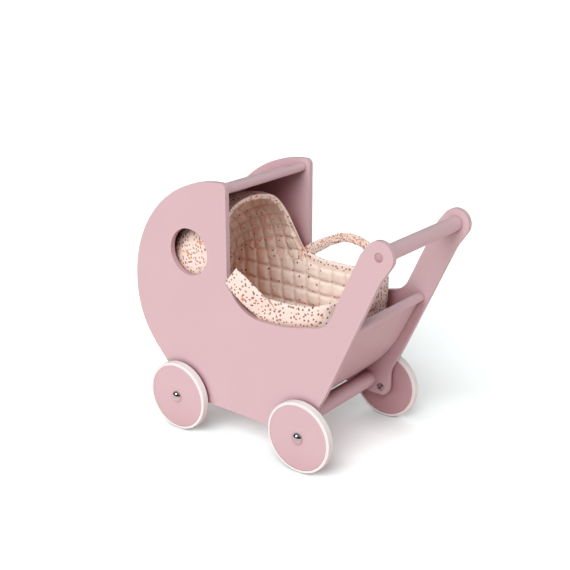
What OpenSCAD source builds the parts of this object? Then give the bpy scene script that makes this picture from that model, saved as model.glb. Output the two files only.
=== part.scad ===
// Wooden doll pram: two cut-out side panels joined by dowels and one bent sheet, four wheels on
// bolts, a push bar, and a soft carrycot that lifts out.
// +X points at the person pushing, +Y to their right, +Z up. The tyres stand on z = 0.

/* [Overall] */
// Length from the front of the hood to the rear of the arm heads
overall_l = 516; // [480:2:560]
// Width over the outer faces of the two side panels
panel_span = 235; // [190:1:280]
// Height of the hood above the floor
hood_h = 447; // [432:1:470]

/* [Side panels] */
// Thickness of each side panel
panel_t = 9; // [8:0.5:12]
// Depth of the hood along the pram, from its front to its straight rear edge
hood_depth = 204; // [180:1:220]
// Radius of the hood's round front
hood_r = 194; // [150:1:194]
// Height where the front turns in towards the wheels
chin_h = 183; // [165:1:200]
// Height of the lowest part of the top edge between hood and arm
opening_h = 231.5; // [215:0.5:245]
// Radius of the round window in the hood
porthole_r = 40; // [25:1:48]
// Distance of the window's centre behind the hood's front
porthole_back = 122.6; // [112:0.2:130]
// Distance of the window's centre below the hood's top
porthole_down = 126.7; // [115:0.1:140]
// Half the width of the leg around each axle
leg_half = 16.5; // [14:0.5:20]
// How far each leg reaches below its axle
leg_drop = 14; // [12:0.5:20]
// Rise of the arch between the legs
arch_rise = 9.5; // [5:0.5:14]

/* [Arms and push bar] */
// Height of the push bar's axis
bar_h = 381.9; // [365:0.1:400]
// Radius of the push bar
bar_r = 12.5; // [10:0.5:15]
// Radius of the round head of each arm
head_r = 24.4; // [20:0.2:28]
// Slope of the arm's edges
arm_slope = 65.6; // [63:0.2:68]
// Distance of the arm's front edge from the bar's axis
arm_front = 28.4; // [26:0.2:32]
// Distance of the arm's rear edge from the bar's axis
arm_rear = 18.8; // [16:0.2:20]
// Radius of the screw's shank at each end of the push bar
screw_r = 2.2; // [1.5:0.1:3]
// Length of that screw
screw_l = 45; // [30:1:60]
// Radius of the domed cap over each screw
cap_r = 7.4; // [6:0.2:9]

/* [Dowels and sheet] */
// Radius of the dowel across the hood
hood_dowel_r = 7.5; // [6:0.5:9]
// Radius of the dowel at the top of the tail board
tail_dowel_r = 8.3; // [7:0.1:10]
// Distance of the tail dowel from the push bar, along the arm
tail_down = 148.8; // [135:0.2:160]
// Radius of the two cross dowels between the legs
cross_dowel_r = 14.6; // [10:0.2:16]
// Depth of the blind holes that hold the dowels
socket_depth = 5; // [3:0.5:6]
// Thickness of the bent sheet
sheet_t = 3.5; // [3:0.1:4.5]
// Distance of the sheet's middle inside the panel's edge
sheet_inset = 11.7; // [10:0.1:14]
// Depth of the grooves that hold the sheet
groove_depth = 4.2; // [3:0.1:5]
// Height of the sheet's floor above the axles
floor_above_axle = 19.3; // [18:0.1:24]

/* [Wheels] */
// Radius over the tyre
wheel_r = 60.5; // [52:0.5:66]
// Thickness of the tyre
tyre_t = 4.8; // [3.6:0.2:7]
// Width of the wheel and its tyre
wheel_w = 13.5; // [10:0.5:18]
// Gap between a wheel and its side panel
wheel_gap = 5.5; // [4:0.5:10]
// Distance of the front axle behind the hood's front
front_overhang = 102.4; // [95:0.2:110]
// Distance between the axles
wheelbase = 259.2; // [245:0.2:270]
// Radius of the axle bolt
bolt_r = 4; // [3:0.5:5]
// Radius of the bolt's domed head inside the panel
bolt_head_r = 7; // [6:0.5:8]
// Radius of the spacer between panel and wheel
spacer_r = 8; // [6.5:0.5:10]
// Radius of the domed nut outside the wheel
nut_r = 9.5; // [8:0.5:12]

/* [Carrycot] */
// Gap between the carrycot and each side panel
cot_gap = 4; // [2:0.5:8]
// Thickness of the padded walls
cot_wall = 7; // [4:0.5:10]
// Gap between the carrycot's foot end and the tail board
foot_gap = 13; // [8:1:30]
// Height of the carrycot's rim above the panel's top edge
rim_rise = 44.5; // [38:0.5:50]
// Height of the folded band around the rim
rim_band_h = 18; // [12:0.5:24]
// Distance of the carrycot's hood below the pram's hood
cot_hood_down = 55; // [50:0.5:66]
// Thickness of the pad on the base
base_pad_t = 14; // [8:1:24]
// Thickness of the carry handles
handle_t = 10; // [6:0.5:12]
// Rise of the standing carry handle above the rim
handle_rise = 45; // [30:1:60]
// Width of the flat carry handle that lies over the left panel
strap_w = 28; // [20:1:32]
// Length of that handle from its stitched end to its fold
strap_l = 88; // [70:1:92]

/* [Hidden] */
$fn = 96;
arc_step = 3; // degrees between the points of a rounded corner
over = 1; // how far a cutter reaches past the face it cuts
seat_play = 0.05; // around a dowel in its hole
groove_play = 0.1; // each side of the sheet in its groove
run_play = 0.05; // around a bolt in a turning wheel
side_play = 0.3; // along a bolt, each side of a turning wheel
soft_play = 0.3; // between soft parts and what they lie on
bolt_play = 0.2; // around a bolt in its hole in the panel

left = -1;
right = 1;

function dir(a) = [cos(a), sin(a)];
function left_of(a) = [-sin(a), cos(a)];
function unit(v) = v / norm(v);
function flat(p) = [p[0], p[1]];
function cross_of(u, v) = u[0] * v[1] - u[1] * v[0];

// Where the line through p at angle a crosses the line through q at angle b
function meet(p, a, q, b) = p + dir(a) * cross_of(q - p, dir(b)) / sin(b - a);

// Half the angle between the edges at corner b
function half_angle(a, b, c) =
    acos(max(-1, min(1, unit(flat(a) - flat(b)) * unit(flat(c) - flat(b))))) / 2;
// How much of each edge the rounding of corner b takes up
function cut_of(a, b, c) = b[2] / tan(half_angle(a, b, c));

// The arc that rounds corner b and takes up the length cut of each edge
function corner_arc(a, b, c, cut) = cut < 0.01 ? [flat(b)] :
    let (
        half = half_angle(a, b, c),
        u = unit(flat(a) - flat(b)),
        w = unit(flat(c) - flat(b)),
        centre = flat(b) + unit(u + w) * cut / cos(half),
        from = flat(b) + u * cut - centre,
        start = atan2(from[1], from[0]),
        turn = (180 - 2 * half) * sign(cross_of(-u, w)),
        steps = ceil(abs(turn) / arc_step)
    )
    [for (i = [0:steps]) centre + cut * tan(half) * dir(start + turn * i / steps)];

// A smooth path through corners [x, y, radius]. Where two roundings would need more than the edge
// between them, both shrink to fit it.
function smooth(v, closed = true) =
    let (
        n = len(v),
        cuts = [for (i = [0:n - 1])
            !closed && (i == 0 || i == n - 1) ? 0 : cut_of(v[(i + n - 1) % n], v[i], v[(i + 1) % n])],
        room = [for (i = [0:n - 1])
            norm(flat(v[(i + 1) % n]) - flat(v[i])) / max(0.01, cuts[i] + cuts[(i + 1) % n])]
    )
    [for (i = [0:n - 1])
        each corner_arc(v[(i + n - 1) % n], v[i], v[(i + 1) % n],
            cuts[i] * min(1, room[i], room[(i + n - 1) % n]))];

// The corners of a shape drawn anticlockwise, moved inwards by d
function inset(v, d) =
    let (n = len(v))
    [for (i = [0:n - 1])
        let (
            before = flat(v[i]) - flat(v[(i + n - 1) % n]),
            after = flat(v[(i + 1) % n]) - flat(v[i]),
            a = atan2(before[1], before[0]),
            b = atan2(after[1], after[0]),
            p = meet(flat(v[i]) + d * left_of(a), a, flat(v[i]) + d * left_of(b), b)
        )
        [p[0], p[1], max(0, v[i][2] - d)]];

// A band of width w along a path of points
function band(path, w) =
    let (
        n = len(path),
        side = [for (i = [0:n - 1])
            let (d = unit(path[min(i + 1, n - 1)] - path[max(i - 1, 0)])) [-d[1], d[0]] * w / 2]
    )
    concat([for (i = [0:n - 1]) path[i] + side[i]], [for (i = [n - 1:-1:0]) path[i] - side[i]]);

// Widths
outer_y = panel_span / 2;
inner_y = outer_y - panel_t;
wheel_in_y = outer_y + wheel_gap;
wheel_out_y = wheel_in_y + wheel_w;

// Main points of the side view, as [x, z]
front_x = -overall_l / 2;
hood_rear_x = front_x + hood_depth;
front_axle = [front_x + front_overhang, wheel_r];
rear_axle = front_axle + [wheelbase, 0];
bar = [overall_l / 2 - head_r, bar_h];
porthole = [front_x + porthole_back, hood_h - porthole_down];
foot_z = wheel_r - leg_drop;

// Sloping lines of the side view, each as a point and an angle
chin = [front_x, chin_h];
chin_r = 158;
chin_end = front_axle + [-leg_half, leg_half + 11.2];
chin_a = atan2(chin_end[1] - chin[1], chin_end[0] - chin[0]);
heel_end = rear_axle + [leg_half, leg_half + 17.7];
heel_a = arm_slope - 4.3;
arm_front_pt = bar + arm_front * left_of(arm_slope);
arm_rear_pt = bar - arm_rear * left_of(arm_slope);
neck_a = arm_slope - 9.6;
neck_pt = bar - head_r * left_of(neck_a);
brow_a = arm_slope - 13.6;
brow_pt = bar + head_r * left_of(brow_a);
head_top = bar[1] + head_r;
opening_low = [hood_rear_x + 110, opening_h];
opening_a = 12.4;

function rounded(p, r) = [p[0], p[1], r];

// Corners of the side panel, anticlockwise from the front leg
panel_corners = [
    [front_axle[0] - leg_half, foot_z, 15],
    [front_axle[0] + leg_half, foot_z, 25],
    [front_axle[0] + 3 * leg_half, foot_z + arch_rise + 1.5, 60],
    [rear_axle[0] - 4 * leg_half, foot_z + arch_rise - 2, 120],
    [rear_axle[0] - 1.3 * leg_half, foot_z, 30],
    [rear_axle[0] + leg_half, foot_z, 15],
    rounded(heel_end, 40),
    rounded(meet(heel_end, heel_a, arm_rear_pt, arm_slope), 250),
    rounded(meet(arm_rear_pt, arm_slope, neck_pt, neck_a), 60),
    rounded(meet(neck_pt, neck_a, [overall_l / 2, 0], 90), head_r),
    [overall_l / 2, head_top, head_r],
    rounded(meet([0, head_top], 0, brow_pt, brow_a), head_r),
    rounded(meet(brow_pt, brow_a, arm_front_pt, arm_slope), 20),
    rounded(meet(arm_front_pt, arm_slope, opening_low, opening_a), 40),
    rounded(opening_low, 200),
    [hood_rear_x, opening_h + 2.5, 71],
    [hood_rear_x, hood_h, 10],
    [front_x, hood_h, hood_r],
    rounded(chin, chin_r),
    rounded(chin_end, 30),
];

// Dowels
hood_dowel_at = [hood_rear_x, hood_h] - [16, 15.2];
tail_dowel_back = 3.4;
tail_dowel_at = bar - tail_down * dir(arm_slope) - tail_dowel_back * left_of(arm_slope);
rear_cross_at = rear_axle + [-25.4, 10.5];
floor_z = wheel_r + floor_above_axle;
front_cross_at = [front_axle[0] + 25.6, floor_z - sheet_t / 2 - soft_play - cross_dowel_r];

// The middle line of the bent sheet, from the hood dowel round the front and floor to the tail
sheet_front_x = front_x + sheet_inset;
sheet_chin = chin + sheet_inset * left_of(chin_a);
hood_top_a = 7;
tail_low_a = 41.7;
tail_high_a = arm_slope - 1.3;
sheet_over_dowel = 2.2;
tail_low_pt = rear_cross_at + (cross_dowel_r + sheet_over_dowel + sheet_t / 2) * left_of(tail_low_a);
floor_front = meet(sheet_chin, chin_a, [0, floor_z], 0);
floor_rear = meet([0, floor_z], 0, tail_low_pt, tail_low_a);
sheet_middle = [
    rounded(meet(hood_dowel_at, hood_top_a, [sheet_front_x, 0], 90), hood_r - sheet_inset),
    rounded(meet([sheet_front_x, 0], 90, sheet_chin, chin_a), chin_r - sheet_inset),
    rounded(floor_front, 60),
    rounded(floor_rear, 40),
    rounded(meet(tail_low_pt, tail_low_a, tail_dowel_at, tail_high_a), 230),
];
sheet_end_gap = 2; // between the sheet's end and the middle of the dowel whose slot it enters
function sheet_path(gap) = smooth(concat(
    [rounded(hood_dowel_at - gap * dir(hood_top_a), 0)],
    sheet_middle,
    [rounded(tail_dowel_at - gap * dir(tail_high_a), 0)]), closed = false);

// Carrycot
cot_y = inner_y - cot_gap;
cot_in_y = cot_y - cot_wall;
cot_floor = floor_z + sheet_t / 2 + soft_play;
cot_front_x = sheet_front_x + sheet_t / 2 + 15.5;
cot_chin = sheet_chin + (sheet_t / 2 + 5) * left_of(chin_a);
rim_z = opening_h + rim_rise;
wall_z = rim_z - rim_band_h;
cot_foot = [floor_rear[0] - 15, cot_floor];
cot_foot_a = tail_low_a + 8.3;
cot_heel = meet(cot_foot, cot_foot_a,
    tail_dowel_at + (foot_gap + sheet_t / 2) * left_of(tail_high_a), tail_high_a);
cot_edge_x = hood_rear_x + 4; // where the carrycot's hood ends at the rim

// Corners of the carrycot's side view up to the height top
function cot_corners(top) = [
    rounded(meet(cot_chin, chin_a, [0, cot_floor], 0), 50),
    rounded(cot_foot, 20),
    rounded(cot_heel, 45),
    [cot_heel[0], top, 0],
    [cot_front_x, top, 0],
    rounded(meet(cot_chin, chin_a, [cot_front_x, 0], 90), 120),
];

// Corners of the carrycot's hood: from the side, and as the arch seen along the pram
cot_hood_z = hood_h - cot_hood_down;
cot_hood_side = [
    [cot_front_x, wall_z, 0],
    [cot_edge_x, wall_z, 0],
    [cot_edge_x - 3, wall_z + 29, 30],
    [cot_edge_x - 38, cot_hood_z, 4],
    [cot_edge_x - 85, cot_hood_z, 60],
    [cot_front_x, wall_z + 62, 90],
];
cot_hood_arch = [
    [-cot_y, wall_z, 0],
    [cot_y, wall_z, 0],
    [cot_y - 1, wall_z + 24, 40],
    [cot_y / 2, cot_hood_z, 62],
    [-cot_y / 2, cot_hood_z, 62],
    [-cot_y + 1, wall_z + 24, 40],
];

// Carry handles: the hinge line of each along its stitched ends
handle_r = handle_t / 2;
handle_z = rim_z + soft_play + handle_r;
handle_y = cot_y - cot_wall / 2;
handle_from_x = cot_edge_x + 6;
handle_to_x = cot_heel[0] - 23;
handle_l = handle_to_x - handle_from_x;

pink = [0.88, 0.74, 0.77];
cream = [0.96, 0.89, 0.84];

// Builds a piece that is drawn for the right side, on either side
module on_side(side) mirror([0, side < 0 ? 1 : 0, 0]) children();

// A plate with the side view of its children, from y_low to y_high
module plate(y_low, y_high) {
    translate([0, y_high, 0]) rotate([90, 0, 0]) linear_extrude(y_high - y_low) children();
}

// A solid with the end view of its children, seen along the pram, from x_low to x_high
module along_x(x_low, x_high) {
    translate([x_low, 0, 0]) rotate([90, 0, 90]) linear_extrude(x_high - x_low) children();
}

// A round bar across the pram, centred on the side view's point at
module rod(at, r, y_low, y_high) {
    translate([at[0], y_high, at[1]]) rotate([90, 0, 0]) cylinder(r = r, h = y_high - y_low);
}

// A turned piece across the pram whose children are drawn as [radius, distance from y_low]
module turned(at, y_low) {
    translate([at[0], y_low, at[1]]) rotate([-90, 0, 0]) rotate_extrude() children();
}

// Half the section of a dome of radius r and height h
module dome_section(r, h) {
    ball_r = (r * r + h * h) / (2 * h);
    intersection() {
        translate([0, h - ball_r]) circle(r = ball_r);
        square([r, h]);
    }
}

module side_panel(side) color(pink) on_side(side) {
    difference() {
        plate(inner_y, outer_y) polygon(smooth(panel_corners));
        rod(porthole, porthole_r, inner_y - over, outer_y + over);
        plate(inner_y - over, inner_y + groove_depth)
            polygon(band(sheet_path(0), sheet_t + 2 * groove_play));
        rod(hood_dowel_at, hood_dowel_r + seat_play, inner_y - over, inner_y + socket_depth);
        rod(tail_dowel_at, tail_dowel_r + seat_play, inner_y - over, inner_y + socket_depth);
        for (at = [front_cross_at, rear_cross_at])
            rod(at, cross_dowel_r + seat_play, inner_y - over, inner_y + socket_depth);
        for (at = [front_axle, rear_axle])
            rod(at, bolt_r + bolt_play, inner_y - over, outer_y + over);
        rod(bar, screw_r, inner_y - over, outer_y + over);
        turned(bar, outer_y - screw_sink) polygon(screw_head);
    }
}

module body_sheet() color(pink) {
    half = inner_y + groove_depth - side_play;
    plate(-half, half) polygon(band(sheet_path(sheet_end_gap), sheet_t));
}

// A dowel whose ends sit in the panels' blind holes
module dowel(at, r) {
    half = inner_y + socket_depth - side_play;
    rod(at, r, -half, half);
}

// A dowel with the slot that takes an end of the sheet
module slotted_dowel(at, r) color(pink) {
    reach = inner_y + socket_depth;
    difference() {
        dowel(at, r);
        plate(-reach, reach) polygon(band(sheet_path(0), sheet_t + 2 * groove_play));
    }
}

// Countersunk screw through the arm into the push bar. Its head lies flush with the arm's face.
screw_head_r = 2 * screw_r;
screw_sink = screw_head_r - screw_r;
screw_head = [[0, 0], [screw_r, 0], [screw_head_r, screw_sink], [0, screw_sink]];
drive_r = 0.7 * screw_r;
drive_depth = 0.7 * screw_sink;

module push_bar() color(pink) difference() {
    rod(bar, bar_r, -inner_y, inner_y);
    for (side = [left, right])
        on_side(side) rod(bar, screw_r, outer_y - screw_l, inner_y + over);
}

module bar_screw(side) color("silver") on_side(side) difference() {
    union() {
        rod(bar, screw_r, outer_y - screw_l, outer_y - screw_sink);
        turned(bar, outer_y - screw_sink) polygon(screw_head);
    }
    rod(bar, drive_r, outer_y - drive_depth, outer_y + over);
}

module screw_cap(side) color(pink) on_side(side) {
    turned(bar, outer_y) dome_section(cap_r, 0.6 * cap_r);
    rod(bar, drive_r, outer_y - drive_depth, outer_y);
}

// Wheels. The tyre's inner rib sits in a groove around the disc.
disc_r = wheel_r - tyre_t;
disc_edge = 0.6;
rib_w = 0.45 * wheel_w;
rib_h = 1.2;

module wheel_disc(axle, side) color(pink) on_side(side) difference() {
    turned(axle, wheel_in_y) difference() {
        polygon([
            [0, 0], [disc_r - disc_edge, 0], [disc_r, disc_edge], [disc_r, wheel_w - disc_edge],
            [disc_r - disc_edge, wheel_w], [0, wheel_w],
        ]);
        translate([disc_r - rib_h, (wheel_w - rib_w) / 2]) square([rib_h + over, rib_w]);
    }
    rod(axle, bolt_r + run_play, wheel_in_y - over, wheel_out_y + over);
}

module tyre(axle, side) color("white") on_side(side) turned(axle, wheel_in_y) {
    edge_r = min(1.6, tyre_t / 2);
    polygon(smooth([
        [disc_r, 0, 0], [wheel_r, 0, edge_r], [wheel_r, wheel_w, edge_r], [disc_r, wheel_w, 0],
        [disc_r, (wheel_w + rib_w) / 2, 0], [disc_r - rib_h, (wheel_w + rib_w) / 2, 0],
        [disc_r - rib_h, (wheel_w - rib_w) / 2, 0], [disc_r, (wheel_w - rib_w) / 2, 0],
    ]));
}

// The bolt's head lies on the panel's inner face and its end fills the domed nut
bolt_end_y = wheel_out_y + side_play + nut_r / 2;
bolt_head_rim = 1;
bolt_head_dome = 0.36 * bolt_head_r;
hex_r = bolt_r * 0.55;

module axle_bolt(axle, side) color("silver") on_side(side) difference() {
    union() {
        rod(axle, bolt_r, inner_y, bolt_end_y);
        rod(axle, bolt_head_r, inner_y - bolt_head_rim, inner_y);
        mirror([0, 1, 0]) turned(axle, bolt_head_rim - inner_y)
            dome_section(bolt_head_r, bolt_head_dome);
    }
    translate([axle[0], inner_y, axle[1]]) rotate([90, 0, 0])
        cylinder(r = hex_r, h = bolt_head_rim + bolt_head_dome + over, $fn = 6);
}

module spacer(axle, side) color("silver") on_side(side) difference() {
    rod(axle, spacer_r, outer_y, wheel_in_y - side_play);
    rod(axle, bolt_r, outer_y - over, wheel_in_y + over);
}

module cap_nut(axle, side) color("silver") on_side(side) difference() {
    union() {
        rod(axle, nut_r, wheel_out_y + side_play, wheel_out_y + side_play + 1);
        turned(axle, wheel_out_y + side_play + 1) dome_section(nut_r, 0.6 * nut_r);
    }
    rod(axle, bolt_r, wheel_out_y, bolt_end_y);
}

// Carrycot
module carrycot_tub() color(cream) difference() {
    plate(-cot_y, cot_y) polygon(smooth(cot_corners(wall_z)));
    plate(-cot_in_y, cot_in_y)
        intersection() {
            polygon(smooth(inset(cot_corners(wall_z + 4 * cot_wall), cot_wall)));
            translate([front_x, 0]) square([overall_l, wall_z + over]);
        }
}

module carrycot_base_pad() color(cream) {
    half = cot_in_y - soft_play;
    plate(-half, half)
        intersection() {
            polygon(smooth(inset(cot_corners(wall_z), cot_wall + soft_play)));
            translate([front_x, 0]) square([overall_l, cot_floor + cot_wall + base_pad_t]);
        }
}

// The printed band folded over the rim, from the hood round the foot end
module carrycot_rim_band() color(cream) difference() {
    plate(-cot_y, cot_y)
        intersection() {
            polygon(smooth(cot_corners(rim_z)));
            translate([cot_edge_x + soft_play, wall_z]) square([overall_l, rim_band_h]);
        }
    plate(-cot_in_y, cot_in_y)
        intersection() {
            polygon(smooth(inset(cot_corners(rim_z + 4 * cot_wall), cot_wall)));
            translate([front_x, 0]) square([overall_l, rim_z + over]);
        }
}

module hood_form(side, arch, x_high) intersection() {
    plate(-inner_y, inner_y) polygon(smooth(side));
    along_x(cot_front_x - over, x_high) polygon(smooth(arch));
}

// The carrycot's own hood, open towards the foot end and down into the tub
module carrycot_hood() color(cream) difference() {
    hood_form(cot_hood_side, cot_hood_arch, cot_edge_x);
    hood_form(
        [for (p = cot_hood_side) [p[0] + (p[0] < cot_edge_x - 100 ? cot_wall : 4 * cot_wall),
            p[1] > wall_z + cot_wall ? p[1] - cot_wall : p[1] - over, p[2]]],
        [for (p = cot_hood_arch) [p[0] - sign(p[0]) * cot_wall,
            p[1] > wall_z + cot_wall ? p[1] - cot_wall : p[1] - over, p[2]]],
        cot_edge_x + 4 * cot_wall);
}

// The round end that each carry handle turns on, along the rim
module handle_root(x, w) {
    translate([x, handle_y, handle_z]) rotate([0, 90, 0]) cylinder(r = handle_r, h = w);
}

// The handle that stands up in an arch over the right side
module carrycot_right_handle() color(cream) {
    arch = smooth([
        [handle_from_x + handle_r, handle_z + handle_r, 0],
        [handle_from_x + handle_l / 2, handle_z + handle_rise, 55],
        [handle_to_x - 0.15 * handle_l, handle_z + 0.58 * handle_rise, 30],
        [handle_to_x - handle_r, handle_z + handle_r, 0],
    ], closed = false);
    plate(handle_y - handle_r, handle_y + handle_r) polygon(band(arch, handle_t));
    handle_root(handle_from_x - handle_r, 2 * handle_t);
    handle_root(handle_to_x - 2 * handle_t + handle_r, 2 * handle_t);
}

// The handle that has fallen outwards over the left panel and lies flat against it
strap_y = outer_y + soft_play;
strap_root = [hood_rear_x + 85, opening_h + 24];
strap_a = 149.4;

module carrycot_left_handle() color(cream) on_side(left) {
    plate(strap_y, strap_y + handle_t / 2) polygon(band([strap_root, strap_root + strap_l * dir(strap_a)], strap_w));
    root_x = hood_rear_x + 40;
    root_w = 36;
    handle_root(root_x, root_w);
    translate([root_x, handle_y, handle_z - handle_r / 2])
        cube([root_w, strap_y + handle_t / 2 - handle_y, handle_r]);
}

side_panel(left);  // left_side_panel
side_panel(right);  // right_side_panel
body_sheet();
slotted_dowel(hood_dowel_at, hood_dowel_r);  // hood_dowel
slotted_dowel(tail_dowel_at, tail_dowel_r);  // tail_dowel
color(pink) dowel(front_cross_at, cross_dowel_r);  // front_cross_dowel
color(pink) dowel(rear_cross_at, cross_dowel_r);  // rear_cross_dowel
push_bar();
bar_screw(left);  // left_bar_screw
bar_screw(right);  // right_bar_screw
screw_cap(left);  // left_screw_cap
screw_cap(right);  // right_screw_cap
wheel_disc(front_axle, left);  // front_left_wheel_disc
wheel_disc(front_axle, right);  // front_right_wheel_disc
wheel_disc(rear_axle, left);  // rear_left_wheel_disc
wheel_disc(rear_axle, right);  // rear_right_wheel_disc
tyre(front_axle, left);  // front_left_tyre
tyre(front_axle, right);  // front_right_tyre
tyre(rear_axle, left);  // rear_left_tyre
tyre(rear_axle, right);  // rear_right_tyre
axle_bolt(front_axle, left);  // front_left_axle_bolt
axle_bolt(front_axle, right);  // front_right_axle_bolt
axle_bolt(rear_axle, left);  // rear_left_axle_bolt
axle_bolt(rear_axle, right);  // rear_right_axle_bolt
spacer(front_axle, left);  // front_left_spacer
spacer(front_axle, right);  // front_right_spacer
spacer(rear_axle, left);  // rear_left_spacer
spacer(rear_axle, right);  // rear_right_spacer
cap_nut(front_axle, left);  // front_left_cap_nut
cap_nut(front_axle, right);  // front_right_cap_nut
cap_nut(rear_axle, left);  // rear_left_cap_nut
cap_nut(rear_axle, right);  // rear_right_cap_nut
carrycot_tub();
carrycot_base_pad();
carrycot_rim_band();
carrycot_hood();
carrycot_left_handle();
carrycot_right_handle();
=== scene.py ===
"""Looks of a wooden doll's pram with a soft carrycot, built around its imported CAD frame.

Lengths are in metres, in the frame's own axes: +X towards the person pushing, +Y to their right, +Z up.
"""

import math

import bmesh
import bpy
import numpy as np
from mathutils import Euler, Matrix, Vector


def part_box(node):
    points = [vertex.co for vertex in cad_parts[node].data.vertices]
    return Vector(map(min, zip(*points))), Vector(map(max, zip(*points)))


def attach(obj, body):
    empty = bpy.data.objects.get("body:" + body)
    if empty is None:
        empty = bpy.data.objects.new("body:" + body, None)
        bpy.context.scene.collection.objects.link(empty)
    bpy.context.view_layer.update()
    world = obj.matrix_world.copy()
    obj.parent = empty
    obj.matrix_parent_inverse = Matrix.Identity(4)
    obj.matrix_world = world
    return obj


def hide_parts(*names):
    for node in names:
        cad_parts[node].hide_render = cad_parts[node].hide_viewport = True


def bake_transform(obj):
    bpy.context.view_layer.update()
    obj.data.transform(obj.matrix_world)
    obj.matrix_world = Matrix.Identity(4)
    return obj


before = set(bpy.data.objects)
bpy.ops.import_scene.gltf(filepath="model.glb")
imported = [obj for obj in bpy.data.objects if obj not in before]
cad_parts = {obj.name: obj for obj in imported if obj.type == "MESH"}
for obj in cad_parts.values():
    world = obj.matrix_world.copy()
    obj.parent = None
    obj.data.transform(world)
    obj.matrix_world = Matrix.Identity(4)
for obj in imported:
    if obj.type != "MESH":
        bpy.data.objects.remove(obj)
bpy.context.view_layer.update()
MM = 0.001
scene = bpy.context.scene


# ---------------------------------------------------------------- nodes

def srgb(red, green, blue):
    """A colour written as it looks on screen, 0 to 255, as linear RGBA."""
    def linear(v):
        v /= 255
        return v / 12.92 if v <= 0.04045 else ((v + 0.055) / 1.055) ** 2.4
    return (linear(red), linear(green), linear(blue), 1.0)


class Nodes:
    """The node tree of a material or world under construction, and short ways to add nodes to it."""

    def __init__(self, owner):
        owner.use_nodes = True
        self.tree = owner.node_tree
        self.tree.nodes.clear()

    def add(self, kind, settings=None, **inputs):
        """A new node, with its settings and its inputs, which are values or other nodes' outputs."""
        made = self.tree.nodes.new("ShaderNode" + kind)
        for name, value in (settings or {}).items():
            setattr(made, name, value)
        for name, value in inputs.items():
            self.put(made.inputs[name.replace("_", " ")], value)
        return made

    def put(self, socket, value):
        if isinstance(value, bpy.types.NodeSocket):
            self.tree.links.new(value, socket)
        else:
            socket.default_value = value

    def join(self, kind, *values, **settings):
        """A new node whose first inputs are the given ones, in order."""
        made = self.add(kind, settings)
        for socket, value in zip(made.inputs, values):
            self.put(socket, value)
        return made

    def math(self, operation, *values):
        return self.join("Math", *values, operation=operation).outputs[0]

    def vector(self, operation, *values):
        number = operation in ("LENGTH", "DOT_PRODUCT")
        return self.join("VectorMath", *values, operation=operation).outputs["Value" if number else "Vector"]

    def axes(self, vector):
        return self.add("SeparateXYZ", Vector=vector).outputs

    def mix(self, factor, a, b):
        made = self.add("Mix", {"data_type": "RGBA"})
        for index, value in ((0, factor), (6, a), (7, b)):
            self.put(made.inputs[index], value)
        return made.outputs[2]

    def noise(self, at, scale, detail=3.0, rough=0.5):
        return self.add("TexNoise", Vector=at, Scale=scale, Detail=detail, Roughness=rough).outputs[0]

    def span(self, value, low, high, to_low=0.0, to_high=1.0, ease="LINEAR"):
        """The value's place between low and high, carried over to between to_low and to_high."""
        return self.join("MapRange", value, low, high, to_low, to_high, interpolation_type=ease).outputs[0]

    def open_share(self, reach, **settings):
        """The share of the surroundings within reach that is open."""
        return self.add("AmbientOcclusion", settings, Distance=reach).outputs["AO"]


# ---------------------------------------------------------------- camera, light and floor

CAMERA_AT = (1.0186, -1.3686, 0.8514)
CAMERA_AZIMUTH, CAMERA_ELEVATION = 37.33, 19.16
CAMERA_LENS, SENSOR = 67.93, 36.0
# The dim light from all round: its strength, and its colour, which the floor also gives back.
AMBIENT, BOUNCE = 0.06, (0.90, 0.72, 0.70)
# Each lamp: the azimuth and elevation that its light comes from, its strength, and how soft it is.
# Azimuth 0 faces the left panel, and 90 faces the tail board.
LAMPS = {"key": (15, 39, 2.96, 48), "low": (-25, 17, 0.36, 40), "tail": (90, 8, 0.90, 40),
         "rear": (215, 30, 0.90, 60)}
# The room that gloss shows: its two strengths, and the heights between which one turns into the other.
ROOM_DARK, ROOM_BRIGHT, ROOM_EDGE = 0.03, 0.20, (0.05, 0.45)
# The bright window in that room: its direction, its strength, and how many degrees from its centre it has
# faded out and starts to fade.
WINDOW_AT, WINDOW_GLOW, WINDOW_RIM = (-0.25, -0.77, 0.58), 6.0, (14, 10)
# The floor as the camera sees it: its own glow, its colour in the open and its painted shade where it is
# covered, how far something that covers it may be, and the power to which the open share is raised between the
# two.
FLOOR_GLOW, FLOOR_OPEN, FLOOR_PAINTED_SHADE = 0.20, (1.10, 1.188, 1.1825), (0, 0.088, 0.088)
CONTACT_REACH, CONTACT_POWER = 0.08, 0.5
FLOOR_REACH = 30.0


def make_camera():
    """The camera stands to the left and behind the tail board, and looks down a little."""
    data = bpy.data.cameras.new("camera")
    data.sensor_width = SENSOR
    data.lens = CAMERA_LENS
    data.clip_end = 60
    camera = bpy.data.objects.new("camera", data)
    scene.collection.objects.link(camera)
    camera.location = CAMERA_AT
    tilt = math.radians(90 - CAMERA_ELEVATION)
    camera.rotation_euler = Euler((tilt, 0, math.radians(CAMERA_AZIMUTH)))
    scene.camera = camera


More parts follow.
